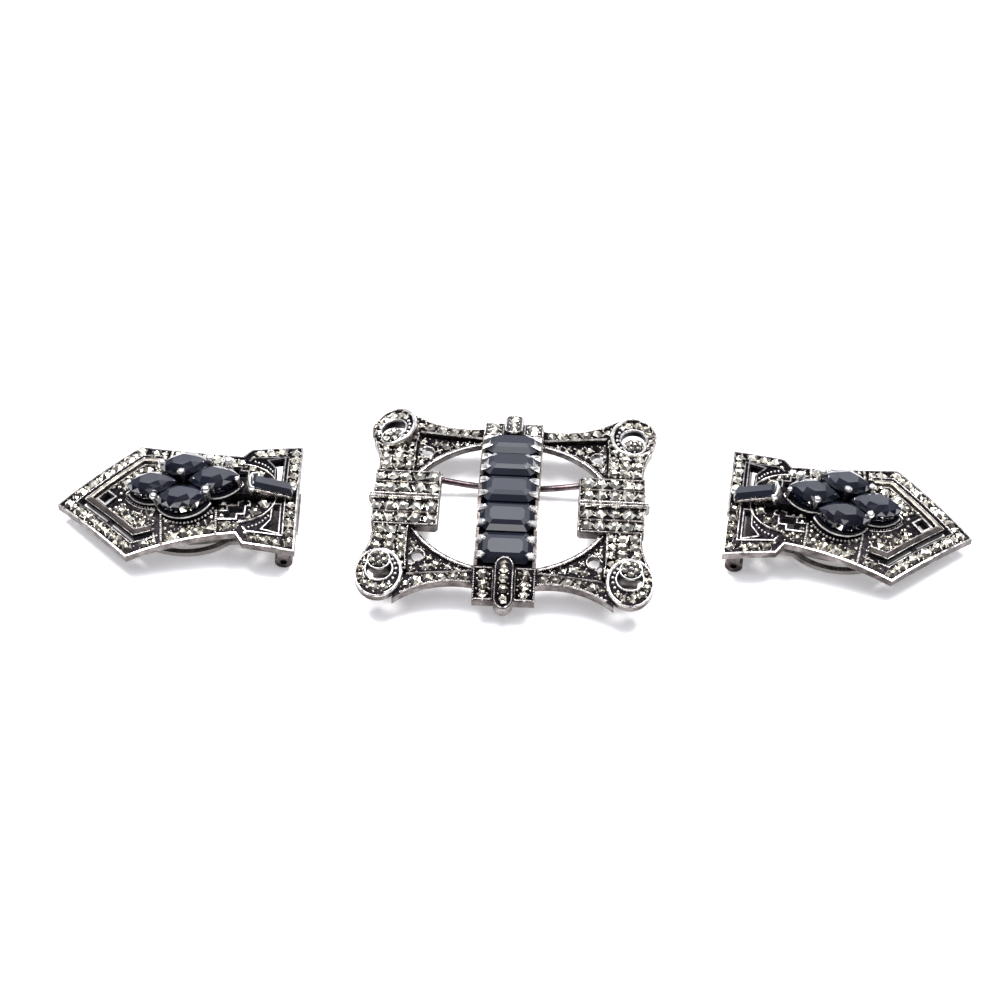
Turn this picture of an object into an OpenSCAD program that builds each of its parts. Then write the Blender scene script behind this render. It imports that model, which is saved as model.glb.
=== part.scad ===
// Double clip brooch: a buckle-shaped pin brooch and the pair of dress clips
// that it comes apart into, lying side by side on a flat surface.
// Millimetres, +Z up, z = 0 is the surface that the pieces lie on.

/* [Row of three] */
// Shift of the pin brooch along the row, so that the row is centred
brooch_x = -0.45; // [-2:0.05:2]
// Distance of the right clip's middle from the pin brooch's middle
right_dx = 43.9; // [36:0.1:60]
// Distance of the left clip's middle from the pin brooch's middle
left_dx = 42.9; // [36:0.1:60]
// Distance of the right clip's middle from the row's centre line, towards the far side
right_dy = 0.6; // [-3:0.1:3]
// Distance of the left clip's middle from the row's centre line, towards the near side
left_dy = 1.1; // [-3:0.1:3]
// Turn of the right clip on the surface, degrees
right_turn = -5.5; // [-15:0.5:15]
// Turn of the left clip on the surface, degrees
left_turn = 2.3; // [-15:0.1:15]

/* [Brooch frame] */
// Radius of the frame's gentle arch from near side to far side
frame_r = 145; // [110:5:300]
// Height of the raised tier (bars, panels and scrolls) at the middle line
tier_top = 5.15; // [4.9:0.05:5.4]
// Drop from the raised tier to the rails
rail_drop = 0.3; // [0.2:0.05:0.6]
// Drop from the raised tier to the lower corner fields
spandrel_drop = 0.85; // [0.6:0.05:1]
// Depth from the raised tier to the underside of the rails
frame_deep = 1.35; // [1.3:0.05:1.7]
// Depth from the raised tier to the underside of panels and bars
panel_deep = 1.25; // [1.1:0.05:1.4]
// Half width of the oval opening
oval_a = 13; // [12:0.1:13.6]
// Half height of the oval opening
oval_b = 10.6; // [9.5:0.1:10.8]
// Inner end of the side panels from the middle
panel_in = 8.9; // [8:0.1:10]
// Half height of the side panels
panel_h = 4.6; // [4:0.1:5.2]
// Outer side of the side bars from the middle
bar_out = 17.2; // [16.5:0.1:18]

/* [Centre column] */
// Radius of the column's arch over the edge rails
arch_r = 28.5; // [27:0.5:34]
// Height of the arch's edge rails at the middle
arch_top = 7.6; // [7.2:0.1:7.8]
// Half width of the column
col_w = 3.95; // [3.6:0.05:4.3]
// Half length of the column's end blocks
block_y = 14.9; // [14.5:0.1:15.4]
// Half length over the strap loops
loop_y = 16.3; // [16.1:0.1:16.8]
// Width of an octagon stone
oct_w = 7.0; // [6:0.1:7.05]
// Length of an octagon stone along the arch
oct_l = 4.2; // [3.6:0.05:4.25]
// Pitch of the octagon stones along the arch
oct_pitch = 4.4; // [4.4:0.05:4.6]

/* [Pin] */
// Distance of the pin stem from the column's middle, towards the far side
pin_y = 5.6; // [5:0.1:6.5]
// Radius of the pin stem
stem_r = 0.42; // [0.3:0.01:0.5]
// Radius of the rivet that the pin turns on
rivet_r = 0.4; // [0.3:0.05:0.5]

/* [Clips] */
// Length of a clip from its point to its flat end
clip_l = 31.5; // [28:0.1:34]
// Half width over the arrow's wide corners
clip_w = 9.3; // [8.8:0.1:10]
// Half width at the waist
waist_w = 6.5; // [5.8:0.1:7]
// Half width of the flat end
tee_w = 8.8; // [8:0.1:9.3]
// Lengthwise radius of the dished plate
dish_l = 95; // [80:1:140]
// Crosswise radius of the dished plate
dish_w = 42; // [35:1:60]
// Height of the plate's highest point above the surface
dish_top = 5.55; // [5.3:0.05:5.8]
// Thickness of the clip plate
plate_t = 0.9; // [0.9:0.05:1.2]
// Height that the raised arrow bar stands above the plate
arrow_t = 0.45; // [0.2:0.05:0.8]
// Length of a marquise stone
marq_l = 6.7; // [6.4:0.1:6.9]
// Width of a marquise stone
marq_w = 3.7; // [3.4:0.05:3.7]
// Height of a marquise stone, from its seat to the middle of its table
marq_t = 2.7; // [1.4:0.1:2.8]
// Length of the baguette stone
bag_l = 5.5; // [4.5:0.1:5.6]
// Width of the baguette stone
bag_w = 2.0; // [1.6:0.1:2.2]

/* [Lever] */
// Radius of the lever's hinge barrel
barrel_r = 1.15; // [1:0.05:1.25]
// Height of the hinge axis above the surface
hinge_z = 1.3; // [1.25:0.05:1.5]
// Radius of the hinge pin
hpin_r = 0.45; // [0.3:0.05:0.6]
// Half width of the lever plate
lever_w = 6.4; // [6:0.1:7.2]
// Thickness of the lever plate
lever_t = 0.7; // [0.5:0.05:0.9]

/* [Hidden] */
$fn = 48;
arch_c = arch_top - arch_r;
floor_r = arch_r - 0.8;
under_r = arch_r - 1.6;
mid_x = clip_l / 2;
corner_x = mid_x - 10;
waist_x = mid_x - 23.8;
tee_x = mid_x - 24.8;
dish_x = -8;
hinge_x = 1.6 - mid_x;
silver = "#b9b4ac";
dark_silver = "#8d8883";
onyx = "#15171f";
right_x = brooch_x + right_dx;
left_x = brooch_x - left_dx;

// ---------- helpers ----------
function oval(a, b, n = 72) = [for (i = [0 : n - 1]) [a * cos(i * 360 / n), b * sin(i * 360 / n)]];
module slab(z0, z1) { translate([0, 0, z0]) linear_extrude(height = z1 - z0) children(); }
module four() { for (sx = [0, 1], sy = [0, 1]) mirror([sx, 0, 0]) mirror([0, sy, 0]) children(); }
module pair_x() { children(); mirror([1, 0, 0]) children(); }
module pair_y() { children(); mirror([0, 1, 0]) children(); }

// ---------- pin brooch, gently arched frame ----------
// Layer of the frame between two depths under the raised tier's top
module layer(d0, d1) {
    intersection() {
        linear_extrude(height = 8) children();
        translate([0, 0, tier_top - frame_r]) rotate([0, 90, 0]) difference() {
            cylinder(r = frame_r - d1, h = 60, center = true, $fn = 360);
            cylinder(r = frame_r - d0, h = 62, center = true, $fn = 360);
        }
    }
}
// One quarter of each outline is drawn, and mirrored to the other three.
module rail_2d() {
    difference() {
        polygon([[0, 11], [4, 11], [12.4, 11.9], [13.4, 13], [13.9, 15.7], [13.2, 16.1], [0, 16.1]]);
        translate([6, 25.05]) circle(r = 12.2, $fn = 96);
    }
}
module side_2d() {
    difference() {
        polygon([[12.6, 0], [bar_out, 0], [bar_out, 5.5], [18.4, 9.6], [16.4, 11.5], [12.2, 11.4]]);
        translate([bar_out + 9, 5.5]) circle(r = 9, $fn = 96);
    }
}
module scroll_hole_2d() {
    difference() {
        translate([15.8, 11.75]) circle(r = 1.55);
        translate([15.95, 10.35]) circle(r = 1.6);
    }
}
module comma_hole_2d() {
    translate([11.2, 8.7]) circle(r = 0.75);
    translate([12.0, 9.5]) circle(r = 0.5);
}
module spandrel_2d() {
    difference() {
        polygon([[3.4, 9], [13, 2], [13.2, 12.2], [3.4, 11.3]]);
        polygon(oval(oval_a + 0.3, oval_b + 0.3));
        comma_hole_2d();
    }
}
module rim_2d() {
    difference() {
        polygon(oval(oval_a + 0.6, oval_b + 0.6));
        polygon(oval(oval_a, oval_b));
        square([7, 60], center = true);
        square([60, 2 * panel_h - 2], center = true);
    }
}
module bar_2d() {
    difference() {
        polygon([[13.8, 3.6], [bar_out, 3.6], [bar_out, 5.5], [18.4, 9.6], [17.6, 11], [13.8, 10.4]]);
        translate([bar_out + 9, 5.5]) circle(r = 9, $fn = 96);
        scroll_hole_2d();
    }
}
module scroll_2d() {
    difference() {
        translate([15.8, 12.2]) polygon(oval(3.08, 3.66, 44));
        scroll_hole_2d();
    }
}
module panel_2d() {
    polygon([[panel_in, 0], [panel_in, panel_h - 0.35], [panel_in + 0.35, panel_h],
             [bar_out + 0.2, panel_h], [bar_out + 0.3, 0.7], [bar_out + 0.9, 0]]);
}

// ---------- pin brooch, arched column ----------
module arch_bar(x0, x1, y0, y1, r0, r1) {
    intersection() {
        translate([x0, y0, 0]) cube([x1 - x0, y1 - y0, 14]);
        translate([0, 0, arch_c]) rotate([0, 90, 0]) difference() {
            cylinder(r = r1, h = 40, center = true, $fn = 180);
            cylinder(r = r0, h = 42, center = true, $fn = 180);
        }
    }
}
module column() {
    // floor of the channel, with its two edge rails
    arch_bar(-col_w, col_w, -13.4, 13.4, under_r, floor_r);
    pair_x() arch_bar(oct_w / 2 + 0.05, col_w, -11.5, 11.5, under_r + 0.2, arch_r);
    // end blocks, and a strap loop over the middle of each
    pair_y() {
        arch_bar(-col_w, col_w, 10.95, block_y, arch_r - 1, arch_r);
        intersection() {
            arch_bar(-1.2, 1.2, 11.05, loop_y, arch_r - 0.35, arch_r + 0.85);
            linear_extrude(height = 12)
                polygon(concat([[-1.3, 10], [1.3, 10]], [for (a = [0 : 22.5 : 180]) [1.3 * cos(a), loop_y - 1.3 + 1.3 * sin(a)]]));
        }
    }
}

// ---------- pin brooch, back fittings ----------
// They hold the frame about 3.5 mm above the surface.
bent = 17;
pivot_x = 14.6;
pivot_z = 2.35;
module pin_joint_block() {
    translate([-pivot_x, pin_y, 0]) difference() {
        translate([-1.3, -1.7, 0]) cube([2.6, 3.4, 4]);
        translate([-1.5, -0.75, -0.1]) cube([3.2, 1.5, 3.65]);
        translate([0, 0, pivot_z]) rotate([90, 0, 0]) cylinder(r = rivet_r, h = 5, center = true);
    }
}
module catch_block() {
    translate([pivot_x, pin_y, 0]) difference() {
        translate([-0.9, -1.5, 0]) cube([1.8, 3, 4]);
        translate([-1.1, -0.75, -0.1]) cube([2.2, 1.5, 3.2]);
    }
}
// Loop on the back, near each end, that a clip hooks into
module clip_loop() {
    translate([15.4, -7.2, 0]) difference() {
        translate([-1.5, -2.2, 0]) cube([3, 4.4, 4]);
        translate([-2, -1.4, 0.8]) cube([4, 2.8, 1.9]);
    }
}

module brooch_frame() {
    color(silver) translate([brooch_x, 0, 0]) {
        difference() {
            union() {
                layer(frame_deep, rail_drop) four() { rail_2d(); side_2d(); }
                layer(frame_deep, spandrel_drop) four() spandrel_2d();
                layer(frame_deep, spandrel_drop - 0.25) rim_2d();
            }
            translate([0, 0, 1]) linear_extrude(height = 6) {
                polygon(oval(oval_a, oval_b));
                four() scroll_hole_2d();
            }
        }
        layer(panel_deep, 0) four() { bar_2d(); panel_2d(); }
        layer(0.7, -0.05) {
            pair_x() mirror([0, 1, 0]) scroll_2d();
            scroll_2d();
        }
        // the far left scroll is bent outwards
        translate([-15.8, 12.2, tier_top - 0.35]) rotate(a = bent, v = [-0.4, -0.92, 0])
            translate([15.8, -12.2, -1.15]) linear_extrude(height = 1.2) mirror([1, 0, 0]) scroll_2d();
        column();
        pin_joint_block();
        catch_block();
        pair_x() clip_loop();
    }
}

// ---------- octagon stones ----------
module octagon(w, l, c, h) {
    linear_extrude(height = h)
        polygon([[-w / 2 + c, -l / 2], [w / 2 - c, -l / 2], [w / 2, -l / 2 + c], [w / 2, l / 2 - c],
                 [w / 2 - c, l / 2], [-w / 2 + c, l / 2], [-w / 2, l / 2 - c], [-w / 2, -l / 2 + c]]);
}
module octagon_stone(i) {
    color(onyx) translate([brooch_x, 0, arch_c]) rotate([-(i - 3) * oct_pitch / arch_r * 180 / PI, 0, 0])
        translate([0, 0, floor_r + 0.06]) {
            octagon(oct_w, oct_l, 0.9, 0.8);
            // two steps of the crown
            hull() {
                translate([0, 0, 0.75]) octagon(oct_w, oct_l, 0.9, 0.05);
                translate([0, 0, 1.35]) octagon(oct_w - 1.3, oct_l - 1.2, 0.7, 0.05);
            }
            hull() {
                translate([0, 0, 1.35]) octagon(oct_w - 1.3, oct_l - 1.2, 0.7, 0.05);
                translate([0, 0, 1.65]) octagon(oct_w - 2.6, oct_l - 2.3, 0.4, 0.05);
            }
        }
}

// ---------- pin ----------
stem_half = 9;
stem_low = 1.05;
stem_high = 2.2;
stem_sag = stem_high - stem_low;
stem_bow = (stem_half * stem_half + stem_sag * stem_sag) / (2 * stem_sag);
module wire(p, q, r) {
    d = q - p;
    translate(p) rotate([0, acos(d[2] / norm(d)), atan2(d[1], d[0])]) cylinder(r = r, h = norm(d), $fn = 24);
}
module pin_stem() {
    color(dark_silver) translate([brooch_x, pin_y, 0]) {
        // bowed middle of the wire
        intersection() {
            translate([0, 0, stem_low + stem_bow]) rotate([90, 0, 0])
                rotate_extrude($fn = 360) translate([stem_bow, 0]) circle(r = stem_r, $fn = 24);
            translate([-stem_half, -1, 0]) cube([2 * stem_half, 2, 4]);
        }
        // straight ends, to the eye and into the catch
        for (s = [-1, 1]) {
            translate([s * stem_half, 0, stem_high]) rotate([0, 90, 0]) sphere(r = stem_r + 0.03, $fn = 24);
            wire([s * stem_half, 0, stem_high], [s * (s < 0 ? pivot_x - 0.7 : pivot_x + 1.5), 0, pivot_z + 0.02], stem_r);
        }
        // eye round the rivet
        translate([-pivot_x, 0, pivot_z]) rotate([90, 0, 0]) difference() {
            cylinder(r = 1.0, h = 1.2, center = true);
            cylinder(r = rivet_r + 0.05, h = 3, center = true);
        }
    }
}
module pin_rivet() {
    color(dark_silver) translate([brooch_x - pivot_x, pin_y, pivot_z]) rotate([90, 0, 0])
        cylinder(r = rivet_r, h = 3.4, center = true);
}

// ---------- dress clip, drawn with its point towards +X ----------
module place_right() { translate([right_x, right_dy, 0]) rotate([0, 0, right_turn]) children(); }
module place_left() { translate([left_x, -left_dy, 0]) rotate([0, 0, left_turn]) mirror([1, 0, 0]) children(); }

// Doubly curved body whose skin lies h over the plate's top
module swell(h) {
    translate([dish_x, 0, dish_top - dish_l]) rotate([90, 0, 0])
        rotate_extrude($fn = 480) translate([dish_l - dish_w, 0]) circle(r = dish_w + h, $fn = 180);
}
// Layer of the dished plate with the outline of its children
module dish(h0, h1) {
    intersection() {
        translate([0, 0, -2]) linear_extrude(height = 14) children();
        difference() { swell(h1); swell(h0); }
    }
}
// Arrow outline whose two sides lie d inside the plate's point, cut off at x = back
edge_n = [clip_w, 10] / norm([clip_w, 10]);
side_n = [-(clip_w - waist_w), corner_x - waist_x] / norm([clip_w - waist_w, corner_x - waist_x]);
edge_c = edge_n[0] * mid_x;
side_c = side_n * [corner_x, clip_w];
function arrow_tip(d) = [(edge_c - d) / edge_n[0], 0];
function arrow_corner(d) = let (det = edge_n[0] * side_n[1] - edge_n[1] * side_n[0])
    [((edge_c - d) * side_n[1] - edge_n[1] * (side_c - d)) / det,
     (edge_n[0] * (side_c - d) - side_n[0] * (edge_c - d)) / det];
function arrow_back(d, x) = [x, (side_c - d - side_n[0] * x) / side_n[1]];
function flip(p) = [p[0], -p[1]];
module arrow_2d(d, back) {
    a = arrow_corner(d);
    b = arrow_back(d, back);
    polygon([arrow_tip(d), a, b, flip(b), flip(a)]);
}
module arrow_band_2d(d0, d1, back) {
    difference() {
        arrow_2d(d0, back);
        arrow_2d(d1, back - 1);
    }
}
// The flank between corner and waist bows inwards by flank_in
flank_in = 0.4;
function flank(t) = [corner_x + (waist_x - corner_x) * t,
                     clip_w + (waist_w - clip_w) * t - flank_in * 4 * t * (1 - t)];
module outline_2d() {
    half = concat([for (i = [0 : 6]) flank(i / 6)], [[tee_x, tee_w - 0.9], [-mid_x, tee_w]]);
    polygon(concat([[mid_x, 0]], half, [for (i = [len(half) - 1 : -1 : 0]) flip(half[i])]));
}
module windows_2d() {
    // long slit round the arrow, with one bridge on each side
    difference() {
        arrow_band_2d(1.9, 2.6, 2.2);
        pair_y() translate([8.4, 3.85]) rotate(43) square([3, 0.4], center = true);
    }
    // small diamond behind the arrow's point
    polygon([[10.1, 0], [9.1, 1.0], [8.1, 0], [9.1, -1.0]]);
    pair_y() {
        // stepped slot beside the stones
        polygon([[-5.9, 3.3], [-7.0, 3.3], [-7.0, 2.5], [-8.9, 2.5], [-8.9, 3.4], [-7.9, 3.4], [-7.9, 4.2], [-5.9, 4.2]]);
        // three-cornered window of the flat end
        polygon([[-13.5, 2.0], [-13.5, 6.2], [-11.6, 5.7], [-12.6, 4.4], [-12.7, 2.0]]);
    }
}
// Lens outline of a marquise stone
module marquise_2d(l, w) {
    r = (l * l + w * w) / (4 * w);
    intersection() {
        translate([0, r - w / 2]) circle(r = r, $fn = 96);
        translate([0, w / 2 - r]) circle(r = r, $fn = 96);
    }
}
// The four marquise stones: centre in the plane that they lie in
marq_at = [["tip", 4.1, 0], ["inner", -4.1, 0], ["near", 0, -2.72], ["far", 0, 2.72]];
marq_tilt = 9;
marq_z = 6.4;
marq_dome = 7.9;
module marquise_plane() { translate([-1.25, 0, marq_z]) rotate([0, marq_tilt, 0]) children(); }
bag_tilt = -18;
module baguette_place() { translate([-12.35, 0, 6.6]) rotate([0, bag_tilt, 0]) children(); }

module clip_plate() {
    color(silver) {
        difference() {
            dish(-plate_t, 0) outline_2d();
            translate([0, 0, -3]) linear_extrude(height = 16) windows_2d();
        }
        // raised arrow bar
        dish(-0.4, arrow_t) arrow_band_2d(2.6, 3.35, 2.6);
        // seat under the marquise stones, and the seat of the baguette
        difference() {
            union() {
                marquise_plane() translate([0, 0, -3]) linear_extrude(height = 3) {
                    for (m = marq_at) translate([m[1], m[2]]) marquise_2d(marq_l - 0.1, marq_w - 0.1);
                    circle(r = 2.2);
                }
                baguette_place() translate([-bag_l / 2, -bag_w / 2, -3]) cube([bag_l, bag_w, 3]);
                translate([-10.2, -1.3, 2]) cube([2.4, 2.6, 4.9]);
            }
            swell(0.15 - plate_t);
        }
        // hinge knuckles under the flat end, with the webs that carry them
        pair_y() difference() {
            union() {
                translate([hinge_x, 6.3, hinge_z]) rotate([90, 0, 0]) cylinder(r = barrel_r, h = 3.4, center = true);
                translate([hinge_x - 0.75, 4.6, hinge_z]) cube([1.5, 3.4, 3]);
            }
            translate([hinge_x, 6.3, hinge_z]) rotate([90, 0, 0]) cylinder(r = hpin_r, h = 6, center = true);
        }
    }
}
module marquise_stone(k) {
    color(onyx) marquise_plane() translate([marq_at[k][1], marq_at[k][2], 0.05]) intersection() {
        linear_extrude(height = marq_t - 0.15) marquise_2d(marq_l, marq_w);
        translate([0, 0, marq_t - marq_dome]) sphere(r = marq_dome, $fn = 96);
    }
}
module baguette_stone() {
    color(onyx) baguette_place() translate([0, 0, 0.05]) {
        translate([-bag_l / 2, -bag_w / 2, 0]) cube([bag_l, bag_w, 0.5]);
        hull() {
            translate([-bag_l / 2, -bag_w / 2, 0.45]) cube([bag_l, bag_w, 0.05]);
            translate([-bag_l / 2 + 0.45, -bag_w / 2 + 0.5, 0.95]) cube([bag_l - 0.9, bag_w - 1, 0.05]);
        }
    }
}

// ---------- lever of a dress clip ----------
lever_c = 45;
belly_x = -4.5;
lever_x = -0.5;
module lever_2d() {
    // wide oval body with two long crescent slots
    intersection() {
        translate([lever_x, 0]) polygon(oval(8.5, lever_w, 48));
        translate([hinge_x + 2.1, -10]) square([40, 20]);
    }
    translate([hinge_x + 0.2, -4.3]) square([9, 8.6]);
}
module crescent_2d() {
    difference() {
        translate([lever_x, 0]) polygon(oval(7.6, lever_w - 0.7, 48));
        translate([lever_x, 0]) polygon(oval(10, lever_w - 2.0, 48));
    }
}
module lever() {
    color(dark_silver) difference() {
        union() {
            intersection() {
                translate([0, 0, -1]) linear_extrude(height = 5) difference() { lever_2d(); crescent_2d(); }
                translate([belly_x, 0, lever_c]) rotate([90, 0, 0]) difference() {
                    cylinder(r = lever_c, h = 20, center = true, $fn = 180);
                    cylinder(r = lever_c - lever_t, h = 22, center = true, $fn = 180);
                }
            }
            translate([hinge_x, 0, hinge_z]) rotate([90, 0, 0]) cylinder(r = barrel_r, h = 8.8, center = true);
            // thumb lip past the hinge
            translate([-mid_x + 0.1, -3.2, hinge_z - 0.4]) cube([1.2, 6.4, 0.7]);
        }
        translate([hinge_x, 0, hinge_z]) rotate([90, 0, 0]) cylinder(r = hpin_r + 0.05, h = 12, center = true);
    }
}
module hinge_pin() {
    color(dark_silver) translate([hinge_x, 0, hinge_z]) rotate([90, 0, 0]) cylinder(r = hpin_r, h = 15.4, center = true);
}

module right_clip_plate() { place_right() clip_plate(); }
module right_marquise(k) { place_right() marquise_stone(k); }
module right_baguette() { place_right() baguette_stone(); }
module right_lever() { place_right() lever(); }
module right_hinge_pin() { place_right() hinge_pin(); }
module left_clip_plate() { place_left() clip_plate(); }
module left_marquise(k) { place_left() marquise_stone(k); }
module left_baguette() { place_left() baguette_stone(); }
module left_lever() { place_left() lever(); }
module left_hinge_pin() { place_left() hinge_pin(); }

brooch_frame();
octagon_stone(1);  // octagon_stone_1
octagon_stone(2);  // octagon_stone_2
octagon_stone(3);  // octagon_stone_3
octagon_stone(4);  // octagon_stone_4
octagon_stone(5);  // octagon_stone_5
pin_stem();
pin_rivet();
right_clip_plate();
right_marquise(0);  // right_marquise_tip
right_marquise(1);  // right_marquise_inner
right_marquise(2);  // right_marquise_near
right_marquise(3);  // right_marquise_far
right_baguette();
right_lever();
right_hinge_pin();
left_clip_plate();
left_marquise(0);  // left_marquise_tip
left_marquise(1);  // left_marquise_inner
left_marquise(2);  // left_marquise_near
left_marquise(3);  // left_marquise_far
left_baguette();
left_lever();
left_hinge_pin();
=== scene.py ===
"""Double clip brooch: pin brooch and its two dress clips, lying side by side."""
import math

import bmesh
import bpy
import numpy as np
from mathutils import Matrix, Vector


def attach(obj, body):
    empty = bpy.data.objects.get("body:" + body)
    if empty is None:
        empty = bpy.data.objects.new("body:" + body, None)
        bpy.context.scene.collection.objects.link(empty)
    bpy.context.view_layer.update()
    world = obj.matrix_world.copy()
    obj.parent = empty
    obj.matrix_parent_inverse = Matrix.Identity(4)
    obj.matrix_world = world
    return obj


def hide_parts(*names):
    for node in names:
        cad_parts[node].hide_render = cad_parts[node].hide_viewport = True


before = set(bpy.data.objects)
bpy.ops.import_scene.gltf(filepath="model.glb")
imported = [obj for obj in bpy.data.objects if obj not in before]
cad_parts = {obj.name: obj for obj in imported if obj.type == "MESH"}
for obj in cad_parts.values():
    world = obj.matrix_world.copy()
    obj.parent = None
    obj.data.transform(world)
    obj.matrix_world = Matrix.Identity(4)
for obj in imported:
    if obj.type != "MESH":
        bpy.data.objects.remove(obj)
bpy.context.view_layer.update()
rng = np.random.default_rng(11)
MM = 0.001

# ------------------------------------------------------------------ values of the CAD, millimetres
BX = -0.45
TIER, FRAME_R = 5.15, 145.0
ARCH_R, ARCH_TOP = 28.5, 7.6
ARCH_C = ARCH_TOP - ARCH_R
OVAL = (13.0, 10.6)
CLIP_L, CLIP_W, WAIST, TEE_W, FLANK_IN = 31.5, 9.3, 6.5, 8.8, 0.4
MID = CLIP_L / 2
CORNER_X, WAIST_X, TEE_X = MID - 10, MID - 23.8, MID - 24.8
DISH_L, DISH_W, DISH_TOP, DISH_X = 95.0, 42.0, 5.55, -8.0
MARQ_L, MARQ_W, MARQ_T, MARQ_OFF, MARQ_END = 6.7, 3.7, 2.7, 2.72, 4.1
MARQ_X, MARQ_Z = -1.25, 6.4
RIGHT = (BX + 43.9, 0.6, -5.5, 1)
LEFT = (BX - 42.9, -1.1, 2.3, -1)


# ------------------------------------------------------------------ surfaces: f(x, y, h) in world millimetres
def tier(depth, sx=1, sy=1):
    r0 = FRAME_R - depth

    def f(x, y, h):
        a = np.arcsin(sy * y / r0)
        return np.stack([sx * x + BX, (r0 + h) * np.sin(a), TIER - FRAME_R + (r0 + h) * np.cos(a)], -1)
    return f


def arch(sx=1, sy=1, r0=ARCH_R):
    def f(x, y, h):
        a = np.arcsin(sy * y / r0)
        return np.stack([sx * x + BX, (r0 + h) * np.sin(a), ARCH_C + (r0 + h) * np.cos(a)], -1)
    return f


def turn_about(v, deg):
    v = np.array(v, float) / np.linalg.norm(v)
    a = math.radians(deg)
    k = np.array([[0, -v[2], v[1]], [v[2], 0, -v[0]], [-v[1], v[0], 0]])
    return np.eye(3) + math.sin(a) * k + (1 - math.cos(a)) * (k @ k)


BENT = turn_about((-0.4, -0.92, 0), 17)


def bent_scroll():
    """The far left scroll is bent outwards; x and y are the quarter's own, both positive."""
    def f(x, y, h):
        p = np.stack([15.8 - x, y - 12.2, 0.05 + h + 0 * x], -1)
        return p @ BENT.T + np.array([-15.8 + BX, 12.2, TIER - 0.35])
    return f


def place(where):
    cx, cy, deg, mir = where
    a = math.radians(deg)
    c, s = math.cos(a), math.sin(a)

    def f(p):
        x, y, z = p[..., 0] * mir, p[..., 1], p[..., 2]
        return np.stack([cx + x * c - y * s, cy + x * s + y * c, z], -1)
    return f


def dish(where, sy=1):
    put = place(where)
    rr, r = DISH_L - DISH_W, DISH_W

    def f(x, y, h):
        y = sy * y
        cz = DISH_TOP - DISH_L
        z = cz + np.sqrt((rr + np.sqrt(r * r - y * y)) ** 2 - (x - DISH_X) ** 2)
        phi = np.arctan2(x - DISH_X, z - cz)
        c = np.stack([DISH_X + rr * np.sin(phi), 0 * x, cz + rr * np.cos(phi)], -1)
        p = np.stack([x, y, z], -1)
        n = (p - c) / r
        return put(p + n * (np.asarray(h)[..., None] if np.ndim(h) else h))
    return f


def tilted(where, origin, deg, sy=1):
    """Plane turned about the clip's crosswise axis, as the stones' seats are."""
    put = place(where)
    a = math.radians(deg)
    c, s = math.cos(a), math.sin(a)

    def f(x, y, h):
        h = h + 0 * x
        return put(np.stack([origin[0] + x * c + h * s, origin[1] + sy * y, origin[2] - x * s + h * c], -1))
    return f


def marq_plane(where, sy=1):
    return tilted(where, (MARQ_X, 0, MARQ_Z), 9, sy)


def bag_plane(where, sy=1):
    return tilted(where, (-12.35, 0, 6.6), -18, sy)


# ------------------------------------------------------------------ mesh soup
class Soup:
    def __init__(self):
        self.v, self.f, self.tone, self.smooth, self.n = [], [], [], [], 0

    def add(self, verts, faces, tone=0.5, smooth=False):
        verts = np.asarray(verts, float).reshape(-1, 3)
        self.v.append(verts)
        self.f += [tuple(i + self.n for i in f) for f in faces]
        self.tone += list(tone) if isinstance(tone, list) else [tone] * len(faces)
        self.smooth += [smooth] * len(faces)
        self.n += len(verts)

    def build(self, name, body, material, slot):
        me = bpy.data.meshes.new(name)
        me.from_pydata((np.concatenate(self.v) * MM).tolist(), [], self.f)
        me.polygons.foreach_set("use_smooth", self.smooth)
        att = me.attributes.new("tone", "FLOAT", "FACE")
        att.data.foreach_set("value", np.array(self.tone, np.float32))
        bm = bmesh.new()
        bm.from_mesh(me)
        bmesh.ops.recalc_face_normals(bm, faces=bm.faces)
        bm.to_mesh(me)
        bm.free()
        me.materials.append(material)
        ob = bpy.data.objects.new(name, me)
        bpy.context.scene.collection.objects.link(ob)
        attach(ob, body)
        return ob


def axes_at(f, x, y, h=0.0):
    """Point and unit axes (along x, along y, out) of a surface."""
    x, y = np.float64(x), np.float64(y)
    e = 0.02
    p = f(x, y, h)
    tx = f(x + e, y, h) - f(x - e, y, h)
    ty = f(x, y + e, h) - f(x, y - e, h)
    up = f(x, y, h + e) - f(x, y, h - e)
    up = up / np.linalg.norm(up)
    tx = tx - up * (tx @ up)
    tx = tx / np.linalg.norm(tx)
    ty = ty - up * (ty @ up) - tx * (ty @ tx)
    ty = ty / np.linalg.norm(ty)
    return p, tx, ty, up


def put_shape(soup, f, x, y, h, verts, faces, spin=0.0, tip=(0.0, 0.0), tone=0.5, smooth=False):
    p, tx, ty, up = axes_at(f, x, y, h)
    c, s = math.cos(spin), math.sin(spin)
    v = np.asarray(verts, float)
    a = v[:, 0] * c - v[:, 1] * s
    b = v[:, 0] * s + v[:, 1] * c
    w = v[:, 2] + a * tip[0] + b * tip[1]
    soup.add(p + a[:, None] * tx + b[:, None] * ty + w[:, None] * up, faces, tone, smooth)


def ring_mesh(rings, cap=True):
    """Closed mesh of stacked rings with one number of points each; a single point closes the top."""
    verts, faces, start = [], [], []
    for r in rings:
        start.append(len(verts))
        verts += [tuple(p) for p in r]
    n = len(rings[0])
    faces.append(tuple(range(n - 1, -1, -1)))
    for k in range(len(rings) - 1):
        a, b = start[k], start[k + 1]
        if len(rings[k + 1]) == 1:
            faces += [(a + i, a + (i + 1) % n, b) for i in range(n)]
        else:
            faces += [(a + i, a + (i + 1) % n, b + (i + 1) % n, b + i) for i in range(n)]
    if len(rings[-1]) > 1 and cap:
        faces.append(tuple(start[-1] + i for i in range(n)))
    return verts, faces


def circle(r, z, n, off=0.0):
    return [(r * math.cos(off + i * 2 * math.pi / n), r * math.sin(off + i * 2 * math.pi / n), z) for i in range(n)]


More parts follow.
